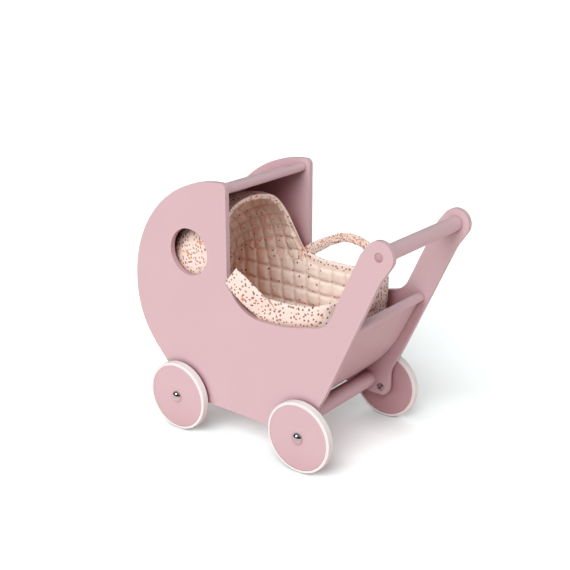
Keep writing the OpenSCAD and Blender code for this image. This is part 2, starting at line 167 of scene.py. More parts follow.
def make_world():
    """White where the camera looks, dim for the light, and for gloss a studio dark behind the camera."""
    world = bpy.data.worlds.new("studio")
    scene.world = world
    n = Nodes(world)

    def light(strength, colour=(1, 1, 1)):
        return n.add("Background", Color=(*colour, 1), Strength=strength).outputs[0]

    def pick(factor, usual, special):
        return n.join("MixShader", factor, usual, special).outputs[0]

    path = n.add("LightPath").outputs
    way = n.add("TexCoord").outputs["Generated"]
    axes = n.axes(way)
    height = n.math("MULTIPLY_ADD", axes[1], 0.5, axes[2])
    bright = n.span(height, *ROOM_EDGE, ease="SMOOTHSTEP")
    room = pick(bright, light(ROOM_DARK), light(ROOM_BRIGHT))
    rim, centre = (math.cos(math.radians(angle)) for angle in WINDOW_RIM)
    window = n.span(n.vector("DOT_PRODUCT", way, WINDOW_AT), rim, centre)
    room = pick(window, room, light(WINDOW_GLOW))
    lit = pick(path["Is Glossy Ray"], light(AMBIENT, BOUNCE), room)
    n.add("OutputWorld", Surface=pick(path["Is Camera Ray"], lit, light(1.0)))


def make_lamps():
    """Soft suns, which gloss doesn't show."""
    for name, (azimuth, elevation, strength, softness) in LAMPS.items():
        data = bpy.data.lights.new(name, "SUN")
        data.energy = strength
        data.angle = math.radians(softness)
        lamp = bpy.data.objects.new(name, data)
        scene.collection.objects.link(lamp)
        lamp.visible_glossy = False
        lamp.rotation_euler = Euler((math.radians(90 - elevation), 0, math.radians(azimuth)))


def make_floor():
    """A pale floor that the camera sees as white, with the object's shadow on it, and painted shade beside
    contacts.
    """
    mesh = bpy.data.meshes.new("floor")
    corners = [(x * FLOOR_REACH, y * FLOOR_REACH, 0) for x, y in ((-1, -1), (1, -1), (1, 1), (-1, 1))]
    mesh.from_pydata(corners, [], [(0, 1, 2, 3)])
    floor = bpy.data.objects.new("floor", mesh)
    scene.collection.objects.link(floor)
    material = bpy.data.materials.new("floor")
    n = Nodes(material)
    # Painted shade: near contacts the floor's colour and its glow both darken, on top of the lamps' shadows.
    openness = n.math("POWER", n.open_share(CONTACT_REACH), CONTACT_POWER)
    tint = n.mix(openness, (*FLOOR_PAINTED_SHADE, 1), (*FLOOR_OPEN, 1))
    glow = n.add("Emission", Color=openness, Strength=FLOOR_GLOW).outputs[0]
    shown = n.join("AddShader", n.add("BsdfDiffuse", Color=tint).outputs[0], glow).outputs[0]
    matt = n.add("BsdfDiffuse", Color=(*BOUNCE, 1)).outputs[0]
    seen = n.add("LightPath").outputs["Is Camera Ray"]
    n.add("OutputMaterial", Surface=n.join("MixShader", seen, matt, shown).outputs[0])
    mesh.materials.append(material)


# ---------------------------------------------------------------- materials

class Finish(Nodes):
    """A material of one Principled shader."""

    def __init__(self, name, **surface):
        self.material = bpy.data.materials.new(name)
        super().__init__(self.material)
        self.shader = self.add("BsdfPrincipled", **surface)
        self.add("OutputMaterial", Surface=self.shader.outputs[0])

    def set(self, name, value):
        self.put(self.shader.inputs[name], value)

    def bump(self, height, depth, normal=None):
        made = self.add("Bump", Height=height, Distance=depth)
        if normal is not None:
            self.put(made.inputs["Normal"], normal)
        return made.outputs[0]

    def painted_shade_mask(self, reach, low, high):
        """A mask for painted shade: 1 to 0 as the surroundings' open share within reach goes from low to high.
        """
        return self.span(self.open_share(reach, samples=12), low, high, 1.0, 0.0)

    def body(self):
        """Coordinates in metres that stay with the piece."""
        return self.add("TexCoord").outputs["Object"]

    def cloth(self):
        """Coordinates in metres along and across the cloth."""
        return self.add("UVMap", {"uv_map": "cloth"}).outputs[0]


def painted_wood(name, painted_shade_at):
    """Satin lacquer over birch plywood: faint grain under the paint, a fine orange peel, and painted shade.

    The second argument says where the shade is painted, as the reach, low and high of Finish's painted shade
    mask.
    """
    f = Finish(name, IOR=1.42)
    at = f.body()
    cloud = f.noise(at, 9.0)
    grain = f.noise(f.vector("MULTIPLY", at, (1.0, 9.0, 9.0)), 30.0, detail=5.0, rough=0.6)
    open_paint = f.mix(cloud, srgb(204, 177, 182), srgb(209, 182, 187))
    # Painted shade: the paint turns darker and deeper pink where its surroundings are covered.
    f.set("Base Color", f.mix(f.painted_shade_mask(*painted_shade_at), open_paint, srgb(159, 104, 110)))
    f.set("Roughness", f.span(f.noise(at, 30.0), 0.3, 0.7, 0.30, 0.33))
    peel = f.bump(f.noise(at, 900.0, detail=2.0), 0.00004)
    f.set("Normal", f.bump(grain, 0.00018, peel))
    return f.material


def pink_plastic():
    """The moulded caps over the push bar's screws."""
    f = Finish("pink_plastic", IOR=1.6, Roughness=0.1)
    at = f.body()
    f.set("Base Color", f.mix(f.noise(at, 60.0), srgb(180, 144, 150), srgb(188, 152, 158)))
    f.set("Normal", f.bump(f.noise(at, 1500.0), 0.00002))
    return f.material


def pale_rubber():
    """The tyres: matt rubber, with painted shade in the narrow gap beside the disc."""
    f = Finish("pale_rubber", IOR=1.5)
    at = f.body()
    unshaded_rubber = f.mix(f.noise(at, 25.0), srgb(231, 228, 225), srgb(237, 235, 232))
    f.set("Base Color", f.mix(f.painted_shade_mask(0.003, 0.45, 0.75), unshaded_rubber, srgb(120, 108, 106)))
    f.set("Roughness", f.span(f.noise(at, 120.0), 0.3, 0.7, 0.5, 0.65))
    f.set("Normal", f.bump(f.noise(at, 1400.0, detail=2.0), 0.00008))
    return f.material


def steel(name, tone, rough, scratch):
    """Bare metal of an on-screen tone, with fine scratches of the given depth."""
    f = Finish(name, Metallic=1.0)
    at = f.body()
    f.set("Base Color", f.mix(f.noise(at, 90.0), srgb(*(0.94 * v for v in tone)), srgb(*tone)))
    f.set("Roughness", f.span(f.noise(at, 350.0), 0.3, 0.7, rough, rough + 0.08))
    f.set("Normal", f.bump(f.noise(at, 700.0, detail=4.0), scratch))
    return f.material


# Colours of the small motifs, and of the few large ones.
INKS = (srgb(92, 46, 58), srgb(208, 158, 104), srgb(106, 74, 72), srgb(96, 50, 56), srgb(178, 104, 78),
        srgb(128, 104, 92))
RARE_INKS = (srgb(236, 178, 100), srgb(222, 146, 102))

CELL = 26 * MM  # one square of the quilting
THREAD = 0.6 * MM  # one thread of the weave and the next


def scatter(f, at, ground, cell, size, share, inks, shape="dot", seed=0.0, stray=0.8):
    """Motifs strewn over the cloth, one to a cell, and only in the given share of the cells."""
    placed = f.vector("MULTIPLY_ADD", at, (1 / cell, 1 / cell, 0), (seed, 0.37 * seed, 0))
    cells = f.add("TexVoronoi", {"voronoi_dimensions": "2D"}, Vector=placed, Scale=1.0, Randomness=stray)
    draw = f.add("SeparateColor", Color=cells.outputs["Color"]).outputs
    local = f.vector("SUBTRACT", placed, cells.outputs["Position"])
    turned = f.add("VectorRotate", {"rotation_type": "Z_AXIS"}, Vector=local,
                   Angle=f.math("MULTIPLY", draw[0], 2 * math.pi)).outputs[0]
    place = f.axes(turned)
    reach = size / cell
    grown = f.math("MULTIPLY", f.span(draw[2], 0, 1, 0.75, 1.2), reach)
    if shape == "dot":
        far = f.math("DIVIDE", f.vector("LENGTH", f.vector("MULTIPLY", turned, (1, 0.8, 1))), grown)
    elif shape == "leaf":
        long = f.math("POWER", f.math("DIVIDE", place[0], f.math("MULTIPLY", grown, 1.35)), 2.0)
        wide = f.math("DIVIDE", f.math("ABSOLUTE", place[1]), f.math("MULTIPLY", grown, 0.8))
        far = f.math("ADD", long, wide)
    else:
        angle = f.math("ARCTAN2", place[1], place[0])
        petal = f.span(f.math("SINE", f.math("MULTIPLY", angle, 5.0)), -1, 1, 0.72, 1.1)
        far = f.math("DIVIDE", f.vector("LENGTH", turned), f.math("MULTIPLY", petal, grown))
    inside = f.span(far, 0.86, 1.06, 1.0, 0.0)
    here = f.math("MULTIPLY", inside, f.math("LESS_THAN", draw[1], share))
    ramp = f.add("ValToRGB", Fac=draw[2])
    ramp.color_ramp.interpolation = "CONSTANT"
    while len(ramp.color_ramp.elements) < len(inks):
        ramp.color_ramp.elements.new(0.5)
    for i, ink in enumerate(inks):
        ramp.color_ramp.elements[i].position = i / len(inks)
        ramp.color_ramp.elements[i].color = ink
    faded = f.math("MULTIPLY", here, 0.9)
    return f.mix(faded, ground, ramp.outputs[0])


def woven(f, at, puckers):
    """The cloth's weave, and its soft unevenness of the given depth, as bump."""
    along = f.axes(at)
    waves = [f.math("SINE", f.math("MULTIPLY", along[k], 2 * math.pi / THREAD)) for k in range(2)]
    weave = f.math("MULTIPLY", *waves)
    crumple = f.bump(f.noise(f.body(), 160.0, detail=4.0, rough=0.6), puckers)
    f.set("Normal", f.bump(weave, 0.00005, crumple))


def printed_cotton(name, painted_shade_at, deep):
    """Cotton with a scattered print, and painted shade towards the colour deep in hollows, as in painted_wood.
    """
    f = Finish(name, Roughness=0.85, Sheen_Weight=0.2, Sheen_Roughness=0.4)
    at = f.cloth()
    ground = f.mix(f.noise(at, 30.0), srgb(247, 227, 215), srgb(249, 230, 220))
    # Painted shade: the ground turns towards deep where its surroundings are covered.
    ground = f.mix(f.painted_shade_mask(*painted_shade_at), ground, srgb(*deep))
    dots = scatter(f, at, ground, 8 * MM, 1.6 * MM, 0.85, INKS, seed=3.1, stray=0.7)
    leaves = scatter(f, at, dots, 12.5 * MM, 2 * MM, 0.65, INKS, "leaf", seed=11.7)
    f.set("Base Color", scatter(f, at, leaves, 34 * MM, 3.8 * MM, 0.55, RARE_INKS, "flower", seed=5.3))
    woven(f, at, 0.8 * MM)
    return f.material


def quilted_cotton():
    """The quilted lining, with painted shade: its seams lie on whole multiples of a square in the cloth map.
    """
    f = Finish("quilted_cotton", Roughness=0.9, Sheen_Weight=0.2, Sheen_Roughness=0.4)
    at = f.cloth()
    ground = f.mix(f.noise(at, 24.0), srgb(252, 235, 221), srgb(253, 238, 226))
    # Painted shade: the ground turns warm and darker where its surroundings are covered.
    ground = f.mix(f.painted_shade_mask(0.20, 0.23, 0.48), ground, srgb(238, 182, 163))
    dots = scatter(f, at, ground, 21 * MM, 1.5 * MM, 0.6, INKS, seed=7.9)
    leaves = scatter(f, at, dots, 31 * MM, 1.6 * MM, 0.5, INKS, "leaf", seed=2.3)
    squares = f.axes(f.vector("MULTIPLY", at, (1 / CELL, 1 / CELL, 0)))
    away = [f.math("PINGPONG", squares[k], 0.5) for k in range(2)]
    seam = f.math("MINIMUM", *away)
    # Painted shade: a soft darkening round each seam, and a narrower dark line in its crease.
    painted_seam_shade = f.mix(f.span(seam, 0.0, 0.20, 0.04, 0.0), leaves, srgb(214, 160, 136))
    f.set("Base Color", f.mix(f.span(seam, 0.005, 0.06, 0.10, 0.0), painted_seam_shade, srgb(184, 128, 106)))
    woven(f, at, 0.8 * MM)
    return f.material


def piping_cotton():
    """The plain cotton over the thin piping."""
    f = Finish("piping_cotton", Roughness=0.85, Sheen_Weight=0.25, Sheen_Roughness=0.4)
    f.set("Base Color", f.mix(f.noise(f.body(), 60.0), srgb(247, 222, 208), srgb(252, 234, 222)))
    f.set("Normal", f.bump(f.noise(f.body(), 1200.0), 0.0002))
    return f.material


# Each paint's numbers say where shade is painted into its hollows.
PAINT = painted_wood("painted_wood", (0.08, 0.12, 0.75))
DISC_PAINT = painted_wood("painted_disc", (0.20, 0.20, 0.60))
PLASTIC = pink_plastic()
RUBBER = pale_rubber()
CHROME = steel("bright_chrome", (232, 233, 235), 0.05, 0.000003)
ZINC = steel("zinc_steel", (196, 194, 192), 0.22, 0.00001)
# Each print's numbers say where shade is painted into its hollows and folds, and the colour of that shade.
PRINT = printed_cotton("printed_cotton", (0.04, 0.0, 0.7), (200, 144, 122))
GATHERED = printed_cotton("gathered_cotton", (0.008, 0.40, 0.95), (204, 128, 108))
QUILT = quilted_cotton()
PIPING = piping_cotton()


# ---------------------------------------------------------------- wooden, rubber and metal pieces

def finish_node(name, material, edge=0.0):
    """Gives a CAD piece its material, and rounds its sharp edges by the given width."""
    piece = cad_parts[name]
    piece.data.materials.clear()
    piece.data.materials.append(material)
    if edge:
        weld = piece.modifiers.new("weld", "WELD")
        weld.merge_threshold = 0.01 * MM
        flatten = piece.modifiers.new("flatten", "DECIMATE")
        flatten.decimate_type = "DISSOLVE"
        flatten.angle_limit = math.radians(0.6)
        bevel = piece.modifiers.new("edge", "BEVEL")
        bevel.width = edge
        bevel.segments = 3
        bevel.limit_method = "ANGLE"
        bevel.angle_limit = math.radians(32)
        bevel.miter_outer = "MITER_ARC"
        piece.modifiers.new("shade", "WEIGHTED_NORMAL")


def finish_wood_and_metal():
    """Finishes for the pieces that keep their CAD shape."""
    for side in ("left", "right"):
        finish_node(side + "_side_panel", PAINT, 1.6 * MM)
        finish_node(side + "_bar_screw", ZINC)
        finish_node(side + "_screw_cap", PLASTIC)
    dowels = ("hood_dowel", "tail_dowel", "front_cross_dowel", "rear_cross_dowel", "push_bar")
    for name in ("body_sheet", *dowels):
        finish_node(name, PAINT, 0.8 * MM)
    for end in ("front", "rear"):
        for side in ("left", "right"):
            corner = end + "_" + side
            finish_node(corner + "_wheel_disc", DISC_PAINT, 0.7 * MM)
            finish_node(corner + "_tyre", RUBBER)
            finish_node(corner + "_axle_bolt", ZINC)
            finish_node(corner + "_spacer", ZINC)
            finish_node(corner + "_cap_nut", CHROME)


# ---------------------------------------------------------------- mesh building

def smooth_curve(points, count):
    """count points evenly spaced along a Catmull-Rom curve through the given ones."""
    p = np.array(points, float)
    p = np.vstack([2 * p[0] - p[1], p, 2 * p[-1] - p[-2]])
    t = np.linspace(0, 1, 24, endpoint=False)[:, None]
    parts = []
    for a, b, c, d in zip(p, p[1:], p[2:], p[3:]):
        square, cube = 2 * a - 5 * b + 4 * c - d, 3 * b - a - 3 * c + d
        parts.append(0.5 * (2 * b + (c - a) * t + square * t**2 + cube * t**3))
    fine = np.vstack(parts + [p[-2:-1]])
    return even(fine, count)


def even(line, count):
    """count points evenly spaced along a line of points."""
    steps = np.linalg.norm(np.diff(line, axis=0), axis=1)
    at = np.concatenate([[0], np.cumsum(steps)])
    want = np.linspace(0, at[-1], count)
    return np.stack([np.interp(want, at, line[:, k]) for k in range(line.shape[1])], 1)


def grid_normals(g, wrap=False):
    """Unit normals of a grid of points [row, column]: row direction crossed with column direction."""
    if wrap:
        across = np.roll(g, -1, 1) - np.roll(g, 1, 1)
    else:
        across = np.gradient(g, axis=1)
    along = np.gradient(g, axis=0)
    n = np.cross(along, across)
    return n / np.maximum(np.linalg.norm(n, axis=2, keepdims=True), 1e-12)


def cloth_lengths(g, wrap=False):
    """A grid's own lengths as its cloth map: (u, v) in metres, with one more column if it wraps."""
    if wrap:
        g = np.concatenate([g, g[:, :1]], 1)
    middle = g[len(g) // 2]
    u = np.concatenate([[0], np.cumsum(np.linalg.norm(np.diff(middle, axis=0), axis=1))])
    steps = np.linalg.norm(np.diff(g, axis=0), axis=2).max(1)
    v = np.concatenate([[0], np.cumsum(steps)])
    return np.stack(np.meshgrid(u, v), 2)


class Body:
    """Collects grids of points into one mesh, with a cloth map, and a material slot for each grid."""

    def __init__(self):
        self.points, self.faces, self.maps, self.slots = [], [], [], []

    def grid(self, g, slot=0, wrap=False, flip=False, cloth=None):
        """Adds a grid and returns the number of its first point. cloth is its map, if not its own lengths."""
        rows, columns = g.shape[:2]
        base = sum(len(p) for p in self.points)
        self.points.append(g.reshape(-1, 3))
        uv = cloth_lengths(g, wrap) if cloth is None else cloth
        for r in range(rows - 1):
            for c in range(columns if wrap else columns - 1):
                d = (c + 1) % columns
                corners = [(r, c, c), (r, d, c + 1), (r + 1, d, c + 1), (r + 1, c, c)]
                if flip:
                    corners.reverse()
                self.faces.append([base + i * columns + j for i, j, _ in corners])
                self.maps.extend(tuple(uv[i, k]) for i, _, k in corners)
                self.slots.append(slot)
        return base

    def fill(self, loop, slot=0):
        """One face over a loop of points that are already in a grid."""
        self.faces.append(list(loop))
        at = np.concatenate(self.points)[list(loop)]
        self.maps.extend((p[0], p[1]) for p in at)
        self.slots.append(slot)

    def closed_tube(self, g, cloth=None):
        """A grid that wraps round, with a face over each end."""
        rows, columns = g.shape[:2]
        base = self.grid(g, wrap=True, cloth=cloth)
        for start in (base, base + (rows - 1) * columns):
            self.fill(range(start, start + columns))

    def build(self, name, materials):
        """The collected mesh as a smooth object, its double points joined and its faces turned outwards."""
        mesh = bpy.data.meshes.new(name)
        mesh.from_pydata(np.concatenate(self.points).tolist(), [], self.faces)
        layer = mesh.uv_layers.new(name="cloth")
        layer.data.foreach_set("uv", np.array(self.maps, float).ravel())
        mesh.polygons.foreach_set("material_index", self.slots)
        for material in materials:
            mesh.materials.append(material)
        tidy = bmesh.new()
        tidy.from_mesh(mesh)
        bmesh.ops.remove_doubles(tidy, verts=tidy.verts, dist=0.02 * MM)
        bmesh.ops.recalc_face_normals(tidy, faces=tidy.faces)
        tidy.to_mesh(mesh)
        tidy.free()
        mesh.polygons.foreach_set("use_smooth", [True] * len(mesh.polygons))
        piece = bpy.data.objects.new(name, mesh)
        scene.collection.objects.link(piece)
        return piece


def ripple(g, wavelength, seed):
    """Smooth noise at each point, mostly between -1 and 1, and the same on each run."""
    rng = np.random.default_rng(seed)
    total = np.zeros(g.shape[:-1])
    for _ in range(14):
        direction = rng.normal(size=3)
        direction /= np.linalg.norm(direction)
        length = wavelength * rng.uniform(0.7, 1.5)
        total += np.sin(g @ direction * 2 * math.pi / length + rng.uniform(0, 6.28))
    return total / 6.0


def quilt_puff(cloth):
    """How far each point of a quilted grid stands up, from 0 on the seams to 1 mid-square."""
    bulge = 1 - np.abs(2 * (cloth / CELL % 1.0) - 1) ** 3
    return np.sqrt(bulge[..., 0] * bulge[..., 1])


def quilt_map(rows, columns):
    """A cloth map whose seams lie on whole multiples of a square."""
    return np.stack(np.meshgrid(np.arange(columns), np.arange(rows)), 2) * (CELL / CELL_STEPS)


def on_seams(cloth, reach=0.3 * MM, wrap=False):
    """Which points of a quilted grid lie on a seam, or on the grid's edge."""
    seams = np.abs(cloth / CELL - np.round(cloth / CELL)).min(2) * CELL < reach
    seams[[0, -1]] = True
    if not wrap:
        seams[:, [0, -1]] = True
    return seams


SETTLE_PRESSURE, SETTLE_FRAMES = 1.5, 14
EXTRA_CLOTH = 0.03  # share of extra cloth, which puckers at the seams
SETTLE_MOST = 2.5 * MM  # the furthest that a point may move


def settle(g, pinned, wrap=False):
    """Blows a grid of cloth up between its pinned points with Blender's cloth, and returns the settled grid.

    The pressure pushes along grid_normals.
    """
    rows, columns = g.shape[:2]
    faces = []
    for r in range(rows - 1):
        for c in range(columns if wrap else columns - 1):
            here, beside = r * columns + c, r * columns + (c + 1) % columns
            faces.append((here, beside, beside + columns, here + columns))
    mesh = bpy.data.meshes.new("cloth")
    mesh.from_pydata(g.reshape(-1, 3).tolist(), [], faces)
    piece = bpy.data.objects.new("cloth", mesh)
    scene.collection.objects.link(piece)
    outward = np.array([f.normal for f in mesh.polygons]).reshape(rows - 1, -1, 3)
    wanted = grid_normals(g, wrap)[:-1, :outward.shape[1]]
    if (outward * wanted).sum() < 0:
        mesh.flip_normals()
    group = piece.vertex_groups.new(name="pins")
    group.add(np.flatnonzero(pinned).tolist(), 1.0, "REPLACE")
    cloth = piece.modifiers.new("cloth", "CLOTH")
    feel = cloth.settings
    feel.quality = 4
    feel.mass = 0.2
    feel.tension_stiffness = feel.compression_stiffness = 12
    feel.shear_stiffness = 4
    feel.bending_stiffness = 0.15
    feel.vertex_group_mass = "pins"
    feel.use_pressure = True
    feel.uniform_pressure_force = SETTLE_PRESSURE
    feel.shrink_min = -EXTRA_CLOTH
    feel.effector_weights.gravity = 0
    cloth.collision_settings.use_collision = False
    cloth.point_cache.frame_start, cloth.point_cache.frame_end = 1, SETTLE_FRAMES
    for frame_number in range(1, SETTLE_FRAMES + 1):
        scene.frame_set(frame_number)
    seen = piece.evaluated_get(bpy.context.evaluated_depsgraph_get()).data
    after = np.empty(len(mesh.vertices) * 3)
    seen.vertices.foreach_get("co", after)
    bpy.data.objects.remove(piece)
    bpy.data.meshes.remove(mesh)
    scene.frame_set(1)
    move = after.reshape(g.shape) - g
    far = np.linalg.norm(move, axis=2, keepdims=True)
    return g + move * np.minimum(1, SETTLE_MOST / np.maximum(far, 1e-9))


def shell(body, outer, inner, lining=0, cloth=None):
    """A closed shell between two grids of one size. lining and cloth are the inner grid's slot and map."""
    body.grid(outer)
    body.grid(inner, lining, flip=True, cloth=cloth)
    outer_edges, inner_edges = ((g[0], g[-1], g[:, 0], g[:, -1]) for g in (outer, inner))
    for pair in zip(outer_edges, inner_edges):
        body.grid(np.stack(pair))


def tube(path, radius, sides):
    """A grid round a path. radius is one number or a function of (share of the length, angle)."""
    p = np.array(path, float)
    tangent = np.gradient(p, axis=0)
    tangent /= np.linalg.norm(tangent, axis=1, keepdims=True)
    side = np.cross(tangent, (0, 1, 0))
    side /= np.maximum(np.linalg.norm(side, axis=1, keepdims=True), 1e-9)
    other = np.cross(tangent, side)
    angle = np.linspace(0, 2 * math.pi, sides, endpoint=False)
    share = np.linspace(0, 1, len(p))
    size = radius(share[:, None], angle[None, :]) if callable(radius) else np.full((len(p), sides), radius)
    return (p[:, None] + (size * np.cos(angle))[..., None] * side[:, None]
            + (size * np.sin(angle))[..., None] * other[:, None])


# ---------------------------------------------------------------- carrycot

TUB_LOW, TUB_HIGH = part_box("carrycot_tub")
RIM_LOW, RIM_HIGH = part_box("carrycot_rim_band")
WALL = 7 * MM
CORNER_R, FLOOR_R = 30 * MM, 14 * MM  # radii of the tub's corners in plan, and of the edge round its floor
HALF_W = TUB_HIGH.y
HOOD_EDGE_X = RIM_LOW.x - 2 * MM
RIM_TOP = RIM_HIGH.z - 3 * MM
BAND_DROP = 11 * MM  # how deep the printed band reaches inside
# How far the rim rises to the hood, sags on the left and rises at the foot end, and where along it.
RIM_RISE, RISE_OVER = 10 * MM, 0.045
RIM_SAG, SAG_AT, SAG_REACH = 8 * MM, 0.035, 0.075
RIM_FOOT, FOOT_FROM, FOOT_OVER = 4 * MM, 0.09, 0.04
# The wall shares in this from LIFT_FROM up, and fully from LIFT_OVER higher.
LIFT_FROM, LIFT_OVER = 0.19, 0.08
# Squares of quilting along each side, along each end and down the wall, and a grid's steps in each square.
SIDE_CELLS, END_CELLS, WALL_CELLS, CELL_STEPS = 12, 7, 7, 8
# How far a square stands up in the wall, the hood and the base pad, and how far the cloth crumples.
WALL_PUFF, HOOD_PUFF, PAD_PUFF, CRUMPLE = 0.0045, 0.0042, 0.003, 0.0003


def side_outline():
    """The tub's side view from its CAD solid: heights, and where its front and its foot end lie there."""
    co = np.array([v.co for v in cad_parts["carrycot_tub"].data.vertices])
    wall = co[np.abs(co[:, 1] - HALF_W) < 0.00001]
    middle = (TUB_LOW.x + TUB_HIGH.x) / 2
    front, foot = wall[wall[:, 0] < middle], wall[wall[:, 0] >= middle]
    return [part[np.argsort(part[:, 2])][:, [2, 0]] for part in (front, foot)]


FRONT, FOOT = side_outline()


def rim_lift(x, y):
    """How far the soft rim stands above or below its level."""
    rise = np.clip((HOOD_EDGE_X + RISE_OVER - x) / RISE_OVER, 0, 1) ** 2
    sag = np.clip(-y / HALF_W, 0, 1) * np.exp(-((x - SAG_AT) / SAG_REACH) ** 2)
    foot = np.clip((x - FOOT_FROM) / FOOT_OVER, 0, 1)
    return RIM_RISE * rise - RIM_SAG * sag + RIM_FOOT * foot


def plan_ring(z, inset):
    """The tub's outline in plan at a height, anticlockwise from the middle of its front left corner."""
    x0 = np.interp(z, FRONT[:, 0], FRONT[:, 1]) + inset
    x1 = np.interp(z, FOOT[:, 0], FOOT[:, 1]) - inset
    low = np.clip(TUB_LOW.z + inset + FLOOR_R - z, 0, FLOOR_R)
    w = HALF_W - inset - (FLOOR_R - math.sqrt(FLOOR_R**2 - low**2))
    r = CORNER_R - inset

    def arc(cx, cy, start, stop):
        a = np.radians(np.linspace(start, stop, 13))
        return np.stack([cx + r * np.cos(a), cy + r * np.sin(a)], 1)

    corners = [(x0 + r, -w + r, 225), (x1 - r, -w + r, 315), (x1 - r, w - r, 45), (x0 + r, w - r, 135)]
    parts = []
    for k, cells in enumerate((SIDE_CELLS, END_CELLS, SIDE_CELLS, END_CELLS)):
        (ax, ay, middle), (bx, by, _) = corners[k], corners[(k + 1) % 4]
        line = np.vstack([arc(ax, ay, middle, middle + 45), arc(bx, by, middle + 45, middle + 90)])
        parts.append(even(line, cells * CELL_STEPS + 1)[:-1])
    return np.vstack(parts)


def wall_grid(heights, insets):
    """The tub's outline drawn at each height, set in from its outside, with the rim's rise and sag."""
    rings = []
    for z, inset in zip(heights, insets):
        xy = plan_ring(z, inset)
        share = np.clip((z - LIFT_FROM) / LIFT_OVER, 0, 1)
        rings.append(np.column_stack([xy, z + share * rim_lift(xy[:, 0], xy[:, 1])]))
    return np.array(rings)


def facing(g, n, outwards=True):
    """Normals turned away from the middle of a grid, or towards it."""
    away = (n * (g - g.mean((0, 1)))).sum() > 0
    return n if away == outwards else -n


def make_tub():
    """The tub: printed cloth outside and over its rim, quilted cloth inside, and a flat floor."""
    top = RIM_TOP - WALL / 2
    seam = RIM_TOP - BAND_DROP
    floor_edge = TUB_LOW.z + np.array([0.2, 1.2, 3, 6, 10]) * MM
    outer_z = np.concatenate([floor_edge, np.linspace(0.100, top, 36)])
    outer = wall_grid(outer_z, np.zeros(len(outer_z)))
    slack = np.sin(np.linspace(0, math.pi, len(outer_z))) ** 0.5
    out = facing(outer, grid_normals(outer, wrap=True))
    wrinkle = 0.5 * ripple(outer * (1, 1, 0.45), 0.034, 4) + 0.5 * ripple(outer, 0.09, 9)
    outer = outer + out * (wrinkle * slack[:, None])[..., None] * MM - out * (0.7 * MM)
    turn = np.radians(np.linspace(15, 165, 9))
    rim = wall_grid(top + WALL / 2 * np.sin(turn), WALL / 2 * (1 - np.cos(turn)))
    rows = WALL_CELLS * CELL_STEPS + 1
    inner_z = np.linspace(seam, seam - WALL_CELLS * CELL, rows)
    inner = wall_grid(inner_z, np.full(rows, WALL))
    columns = inner.shape[1]
    cloth = quilt_map(rows, columns + 1)
    puff = quilt_puff(cloth[:, :-1])
    inwards = facing(inner, grid_normals(inner, wrap=True), outwards=False)
    uneven = 1 + 0.25 * ripple(inner, 0.05, 21)
    crumple = inwards * ripple(inner, 0.012, 5)[..., None] * CRUMPLE
    inner = inner + inwards * (puff * uneven)[..., None] * WALL_PUFF + crumple
    seams = on_seams(cloth[:, :-1], wrap=True)
    inner = settle(inner[:, ::-1], seams[:, ::-1], wrap=True)[:, ::-1]
    body = Body()
    first = body.grid(outer, 0, wrap=True)
    body.grid(np.concatenate([outer[-1:], rim, inner[:1]]), 0, wrap=True)
    last = body.grid(inner, 1, wrap=True, cloth=cloth)
    body.fill(range(first, first + columns), 0)
    end = last + (rows - 1) * columns
    body.fill(range(end, end + columns), 1)
    tub = body.build("carrycot_shell", [PRINT, QUILT])
    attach(tub, "carrycot")
    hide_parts("carrycot_tub")


def around(path, outside, profile):
    """A grid of a profile (outwards, up) drawn round a path."""
    level = outside[:, None] * profile[None, :, :1]
    up = np.broadcast_to(profile[None, :, 1:], (len(path), len(profile), 1))
    return path[:, None] + np.concatenate([level, up], 2)


def make_rim():
    """The printed band folded over the rim, from the hood round the foot end and back."""
    top = RIM_TOP - WALL / 2
    ring = plan_ring(top, WALL / 2)
    order = np.flatnonzero(ring[:, 0] > HOOD_EDGE_X)
    path = ring[order]
    outside = plan_ring(top, 0)[order] - plan_ring(top, WALL)[order]
    outside /= np.linalg.norm(outside, axis=1, keepdims=True)
    path = np.column_stack([path, top + rim_lift(path[:, 0], path[:, 1])])
    half = WALL / 2 + 1.1 * MM
    over = [(half * math.cos(a), 1.15 * half * math.sin(a)) for a in np.radians(np.linspace(0, 180, 13))]
    low = BAND_DROP - WALL / 2
    outer_side = [(half - 1.6 * MM, -42 * MM), (half - 0.8 * MM, -40 * MM), (half - 0.4 * MM, -27 * MM),
                  (half, -14 * MM), (half, -4 * MM)]
    inner_side = [(-half - 0.2 * MM, -0.35 * low), (-half - 0.6 * MM, -0.7 * low), (-half, -low),
                  (-half + 2 * MM, -low - 0.6 * MM)]
    profile = np.array(outer_side + over + inner_side)
    band = around(path, outside, profile)
    out = facing(band, grid_normals(band))
    wrinkle = 0.6 * ripple(band, 0.018, 31) + 0.6 * ripple(band, 0.045, 33)
    band = band + out * wrinkle[..., None] * (0.6 * MM)
    back = around(path, outside, 0.5 * profile - (0, 1 * MM))
    body = Body()
    shell(body, band, back)
    rim = body.build("carrycot_rim_binding", [PRINT])
    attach(rim, "carrycot")
    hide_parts("carrycot_rim_band")
    edge = path + np.column_stack([outside * (-half - 0.3 * MM), np.full(len(path), -low)])
    make_piping("rim_piping", edge, 1.0 * MM)


def make_piping(name, path, radius):
    """A thin covered cord sewn on along a path."""
    body = Body()
    body.closed_tube(tube(path, radius, sides=10))
    piping = body.build(name, [PIPING])
    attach(piping, "carrycot")


HOOD_FOOT = RIM_TOP - 15 * MM  # the height at which the canopy starts, inside the tub's wall
